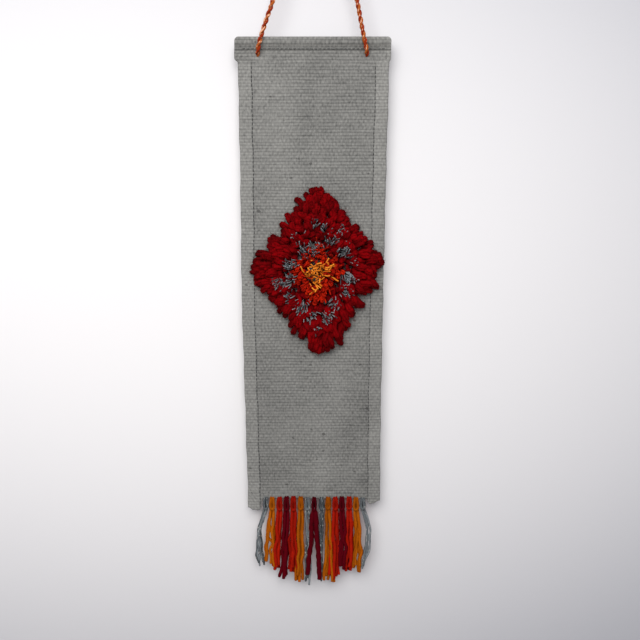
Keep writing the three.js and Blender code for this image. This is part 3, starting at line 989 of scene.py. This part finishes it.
def red_outer(rng, *block):
    """Fingers that reach the outline, and a fuller row behind them."""
    root = roots(rng, *block, 3, 6, 0.26)
    way, distance = outward(root)
    heading = turn(way, rng.normal(0, 0.33, len(root)))
    row = np.arange(len(root)) // 6
    edge = finger_reach(way) - distance + rng.normal(-1.5, 2.4, len(root)) * MM
    share = np.array([0.6, 0.85, 1.0])[row]
    reach = np.clip(share * edge, 7 * MM, 18 * MM)
    height = np.array([9.5, 8.0, 6.0])[row] * MM * rng.uniform(0.8, 1.2, len(root))
    droop = np.array([0.2, 0.35, 0.5])[row]
    long = loops(rng, root, heading, reach, height, droop, RED_RADIUS)
    return joined(long, undergrowth(rng, block, 2, 5), hairs(rng, long))


def red_inner(rng, *block):
    """Full loops, with a row of low ones inside them that fill the gaps of the grey ring."""
    full = loop_rows(rng, block, 3, 6, 0.26, 0.5, (7, 12), (8.5, 12), 0.22, RED_RADIUS)
    outer, inner, *rest = block
    mat = undergrowth(rng, (outer, inner - 0.17, *rest), 5, 6)
    return joined(full, mat, hairs(rng, full))


# %% Grey patches
GREY_PATCHES = [  # mm across and up from the pile's middle, mm wide, and number of strands
    [-5.6, 45, 4, 9], [-10, 18, 7.5, 26], [1, 22, 4.5, 12], [26, 16, 5.5, 24], [35, 7, 3, 5],
    [31, -6, 6, 26], [26, -20, 5, 20], [19, -33, 4.5, 16], [7, -48, 6, 26], [-9, -46, 4.5, 12],
    [-16, -36, 6, 24], [-27, -28, 4.5, 14], [-26, -10, 4.5, 12], [-40, -10, 5, 18],
    [-30, -14, 4, 10], [-29, 3, 4, 12], [8, 39, 3, 6], [21, 41, 2.5, 4], [26, 35, 2.5, 4],
    [-19, 35, 3, 5], [-3, -59, 2.5, 5], [16, 32, 3, 6], [-20, 8, 4, 9], [12, 27, 4, 9],
]
GREY_PATCHES = np.array(GREY_PATCHES) * [MM, MM, MM, 1]


def grey_ring(rng, _outer, _inner, side, start, _stop):
    """Cut strands in patches: each patch belongs to the block that its middle is nearest to, and
    its strands lie much the same way."""
    ring = on_diamond(np.full(8, 0.48), np.repeat(np.arange(4), 2), np.tile([0.25, 0.75], 4))
    apart = (GREY_PATCHES[:, None, :2] + pile_middle) - ring
    nearest = np.argmin(np.linalg.norm(apart, axis=2), axis=1)
    own = GREY_PATCHES[nearest == int(2 * side + (start >= 0.5))]
    patches = []
    for x, z, size, number in own:
        count = int(1.6 * number)
        spread = rng.normal(0, size / 2, (count, 2))
        root = np.stack([x + spread[:, 0], np.full(count, pile_base), z + spread[:, 1]], axis=1)
        root += [pile_middle[0], 0, pile_middle[1]]
        way, _ = outward(root)
        heading = turn(way, rng.uniform(-1.2, 1.2) + rng.normal(0, 0.5, count))
        reach = rng.uniform(3, 8, count) * MM
        height = rng.uniform(10.5, 13.5, count) * MM
        patches.append(cut_ends(rng, root, heading, reach, height, 0.55 * MM, curl=0.5 * MM))
    return joined(*patches)


# %% Orange and gold
def orange_ring(rng, *block):
    """Tight small loops, with loose thin strands over them."""
    tight = loop_rows(
        rng, block, 3, 8, 0.3, 1.0, (2.5, 6.5), (8, 11), 0.15, 1.15 * MM,
        steps=24, sides=8, half_width=1.35 * MM,
    )
    root = roots(rng, *block, 4, 8, 0.4)
    heading = turn(outward(root)[0], rng.uniform(-3, 3, len(root)))
    reach = rng.uniform(4, 9, len(root)) * MM
    height = rng.uniform(10, 12.5, len(root)) * MM
    loose = cut_ends(rng, root, heading, reach, height, 0.75 * MM, 14, 7, 0.9 * MM)
    return joined(tight, loose)


def gold_middle(rng):
    """Long curled ends that lie over the orange, and short ones under them."""
    count = 46
    angle, far = rng.uniform(0, 2 * np.pi, count), np.sqrt(rng.uniform(0, 1, count))
    x, z = 12 * MM * np.cos(angle) * far, 13 * MM * np.sin(angle) * far
    heart = pile_middle + pile_heart
    root = np.stack([heart[0] + x, np.full(count, pile_base), heart[1] + z], axis=1)
    heading = turn(np.tile([[1.0, 0, 0]], (count, 1)), rng.uniform(0, 6.3, count))
    reach = rng.uniform(5, 14, count) * MM
    height = rng.uniform(10.5, 14, count) * MM
    return cut_ends(rng, root, heading, reach, height, 0.85 * MM, 24, 8, 1.7 * MM)


# %% Every CAD block becomes its tufts
RINGS = [  # shares of the diamond, blocks on a side, how they are made, and slot
    ("pile_red_outer", 1.0, 0.8, 3, red_outer, "yarn_red"),
    ("pile_red_inner", 0.8, 0.56, 2, red_inner, "yarn_red"),
    ("pile_grey", 0.56, 0.4, 2, grey_ring, "yarn_grey"),
    ("pile_orange", 0.4, 0.2, 1, orange_ring, "yarn_orange"),
]


def tufts(node, parts, slot_name):
    """One block's tufts as a piece. Depth is 0 at the cloth and 1 at 11 mm off it, and the finish
    paints shade where it is low.
    """
    # Painted shade: the tufts' colour darkens near the cloth, where the pile lies in shade.
    depth = np.clip((pile_base - parts["points"][:, 1]) / (11 * MM), 0, 1)
    piece = yarn_piece(node.replace("pile_", "tufts_"), parts, YARN[slot_name], depth)
    attach(piece, "banner", slot_name, node)
    return len(parts["quads"]) * 2 + len(parts["tris"])


pile_triangles = 0
for ring_index, (ring, outer, inner, per_side, make, slot_name) in enumerate(RINGS):
    for i in range(4 * per_side):
        side, number = divmod(i, per_side)
        rng = np.random.default_rng(100 * ring_index + i)
        parts = make(rng, outer, inner, side, number / per_side, (number + 1) / per_side)
        pile_triangles += tufts(f"{ring}_{i + 1:02d}", parts, slot_name)
pile_triangles += tufts("pile_gold_centre", gold_middle(np.random.default_rng(900)), "yarn_gold")
print("pile:", pile_triangles, "triangles")

# %% [markdown]
# ## The tassels
# Each tassel is a few lengths of yarn, folded in half and hitched over the woven edge: the
# fold hangs in front as a small U, the yarn passes through the cloth, and both ends come back
# down through the fold. So every yarn is one path, from one end up through the hitch and down
# to the other. The colours mirror each other about the middle, and the ends were cut by hand
# and have spread. The hitch holds the cloth.

# %% The fifteen tassels
TASSELS = [  # yarn, ends from and to beside the hitch, bow, mm
    ("grey", -8.5, -3.5, -6),
    ("mustard", -8.0, 5.0, -1.5),
    ("orange", -6.8, 1.5, -0.5),
    ("burgundy", -5.2, -0.6, 0),
    ("orange", -5.0, 2.2, 0),
    ("mustard", -6.0, 0.6, 0.4),
    ("grey", -3.0, 4.2, 0.5),
    ("burgundy roving", -9.4, 1.6, 0),
    ("grey", -4.0, 1.8, 0),
    ("mustard", -4.6, 7.6, 0),
    ("orange", -5.4, 4.2, 0.5),
    ("burgundy", -1.6, 8.8, 0.6),
    ("orange", -4.2, 4.8, 1.2),
    ("mustard", -2.6, 5.8, 2),
    ("grey", -1.2, 2.2, 7.5),
]
YARNS = {  # folded yarns in a tassel, radius in mm, and turns of the twist in a metre
    "grey": (3, 1.1, 190),
    "mustard": (3, 1.7, 150),
    "orange": (3, 1.9, 130),
    "burgundy": (2, 2.0, 80),
    "burgundy roving": (1, 2.9, 50),
}
TASSEL_PITCH, CLOTH_CENTRE = 7.6, -1.5  # mm
HITCH_RADIUS = 1.35  # a thick yarn is squeezed to this where it is pulled tight
YARN_STEPS = 120
TASSEL_STEADY = (0.35, 0.78, 0.52)


def hitch(rng, x, drop, kind, start, stop, bow):
    """All the yarns of one tassel. Half of a yarn is a list of points, in mm, from the fold to
    its end, and the other half is its mirror with its own end."""
    count, radius, turns = YARNS[kind]
    x = x + rng.normal(0, 0.35)
    sag = rng.uniform(-1.3, 0.5)
    tight = min(radius, HITCH_RADIUS)
    ahead = 2.6 if count == 1 else 0
    ends = np.linspace(start, stop, 2 * count) + rng.normal(0, 1.7, 2 * count)
    s = np.linspace(0, 1, 9)[1:]
    paths, radii = [], []
    for yarn in range(count):
        nest = (yarn - (count - 1) / 2) / max(count - 1, 1)
        fore = -14.9 - tight - nest * 0.6
        halves = []
        for sign, end in ((-1, ends[yarn]), (1, ends[2 * count - 1 - yarn])):
            length = drop * rng.uniform(0.9, 1.0)
            swing = bow * np.sin(np.pi * s**0.85) * rng.uniform(0.75, 1.1)
            ripple = rng.normal(0, 0.85, 8) * np.minimum(2 * s, 1)
            deep = rng.normal(0, 1.8) * s**0.5 + rng.normal(0, 0.3, 8)
            leave = sign * (1.1 + 0.9 * (nest + 0.5))
            tail_x = x + leave + (end - leave) * s**1.15 + swing + ripple
            tail_y = -13.3 + deep - nest * 1.6 * (1 - 0.5 * s) - ahead * s**0.3
            tail_z = -649.5 - (length - 14.5) * s
            wide = sign * (2.15 + nest * 1.1)
            fold = [
                [x + wide * 0.62, fore, -647.6 + nest * 0.5 + sag],
                [x + wide * 0.9, fore, -645.0 + sag],
                [x + wide * 0.72, fore + 0.1, -640.5],
                [x + wide * 0.5, -14.2, -636.4 + nest * 0.4],
                [x + wide * 0.5, -11.2, -635.8 + nest * 0.4],
                [x + wide * 0.5, -9.9, -638.0],
                [x + sign * 0.95, -10.6, -641.5],
                [x + leave * 0.8, -12.9 - nest * 0.8, -647.2],
            ]
            halves.append(np.concatenate([fold, np.stack([tail_x, tail_y, tail_z], axis=1)]))
        bar = [[x, fore, -648.6 + nest * 0.6 + sag]]
        line = through(np.concatenate([halves[0][::-1], bar, halves[1]]), YARN_STEPS)
        in_knot = step(line[:, 2], -656, -649)
        lump = 1 + 0.05 * np.sin(np.arange(YARN_STEPS) * 0.9 + rng.uniform(0, 6))
        paths.append(line)
        radii.append((radius * (1 - in_knot) + tight * in_knot) * lump)
    paths, radii, tones = MM * np.array(paths), MM * np.array(radii), rng.uniform(0.1, 0.9, count)
    return sweep(paths, radii, TASSEL_STEADY, 9, 2, turns, 0.16, tones, 0.03)


tassel_triangles = 0
for i, (kind, start, stop, bow) in enumerate(TASSELS):
    node = f"tassel_{i + 1:02d}"
    low, high = box(node)
    x, drop = CLOTH_CENTRE + (i - 7) * TASSEL_PITCH, -635 - low[2] / MM
    parts = hitch(np.random.default_rng(500 + i), x, drop, kind, start, stop, bow)
    # Painted shade: depth is 0.5 at the hitch and 0.75 on the tails, so the yarn is darker where
    # it folds round the cloth.
    depth = 0.75 - 0.25 * step(parts["points"][:, 2], -652 * MM, -642 * MM)
    colour = f"yarn_{kind.split()[0]}"
    piece = yarn_piece(f"hitched_{node}", parts, YARN[colour], depth)
    hinge = [(x * MM, cloth_y, z * MM) for z in (-636, -643)]
    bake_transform(piece)
    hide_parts(node)
    tassel_triangles += 2 * len(parts["quads"]) + len(parts["tris"])
print("tassels:", tassel_triangles, "triangles")

# %% [markdown]
# ## Wall and light
# The banner hangs against a white wall, with painted shade that makes it a little greyer above,
# below and to the right. A large window to the upper left gives soft light, and the room fills
# the shadows. The wall has no back: seen from behind it is clear, and so is its shadow, so that
# views of the back show the object.


# %% The wall, the floor and the window
def plate(name, corners, material):
    points = np.array(corners, float)
    piece = make_piece(name, points, np.array([[0, 1, 2, 3]]), np.zeros((0, 3), int), material)
    return piece


def wall_finish():
    """White paint with painted shade: a little greyer above, below and to the right."""
    finish = Finish("white wall")
    backface = finish.node("ShaderNodeNewGeometry", {}, {}, 6)
    across = finish.split(finish.place(), 0)
    height = finish.split(finish.place(), 2) + 0.43  # over the lightest part
    # Painted shade: the paint is lightest 0.22 m left of and 0.43 m below the peg, and greys away
    # from there, for the fall-off of the window's light.
    shade = across * 0.44 + across * across + height * height * 3.0 + 0.08
    shade = shade.math("SMOOTH_MIN", 0.85, 0.3)
    colour = finish.mix(shade, linear(208, 206, 206), linear(132, 133, 140))
    paint = finish.node("ShaderNodeBsdfPrincipled", {}, {"Base Color": colour, "Roughness": 0.9})
    clear = finish.node("ShaderNodeBsdfTransparent", {}, {})
    surface = finish.node("ShaderNodeMixShader", {}, {0: backface, 1: paint, 2: clear})
    finish.node("ShaderNodeOutputMaterial", {}, {"Surface": surface})
    return finish.material


def upright(half_width, low, high, y):
    a, b = -half_width, half_width
    return [[a, y, low], [b, y, low], [b, y, high], [a, y, high]]


FLOOR = -1.6
wall = plate("wall", upright(2.5, FLOOR, 1.4, 0.0004), wall_finish())
wall.visible_shadow = False
floor_finish = Finish("floor").shade(Base_Color=linear(196, 190, 182), Roughness=0.7)
floor_corners = [[-2.5, -3, FLOOR], [2.5, -3, FLOOR], [2.5, 0, FLOOR], [-2.5, 0, FLOOR]]
plate("floor", floor_corners, floor_finish)


def lamp(name, place, target, size, energy, colour):
    data = bpy.data.lights.new(name, "AREA")
    data.shape, data.size, data.size_y = "RECTANGLE", *size
    data.energy, data.color = energy, colour
    one = bpy.data.objects.new(name, data)
    one.location = place
    one.rotation_euler = (Vector(target) - Vector(place)).to_track_quat("-Z", "Y").to_euler()
    bpy.context.collection.objects.link(one)


lamp("window", (-0.22, -1.25, 0.52), (0, 0, -0.35), (1.7, 1.1), 41, (1.0, 0.985, 0.965))
lamp("room behind", (0.3, 1.5, 0.2), (0, 0, -0.4), (1.5, 1.5), 36, (1, 1, 1))
world = bpy.data.worlds.new("room")
world.use_nodes = True
world.node_tree.nodes["Background"].inputs["Color"].default_value = (*linear(226, 230, 240), 1)
world.node_tree.nodes["Background"].inputs["Strength"].default_value = 0.75
bpy.context.scene.world = world
bpy.context.scene.view_settings.view_transform = "Standard"
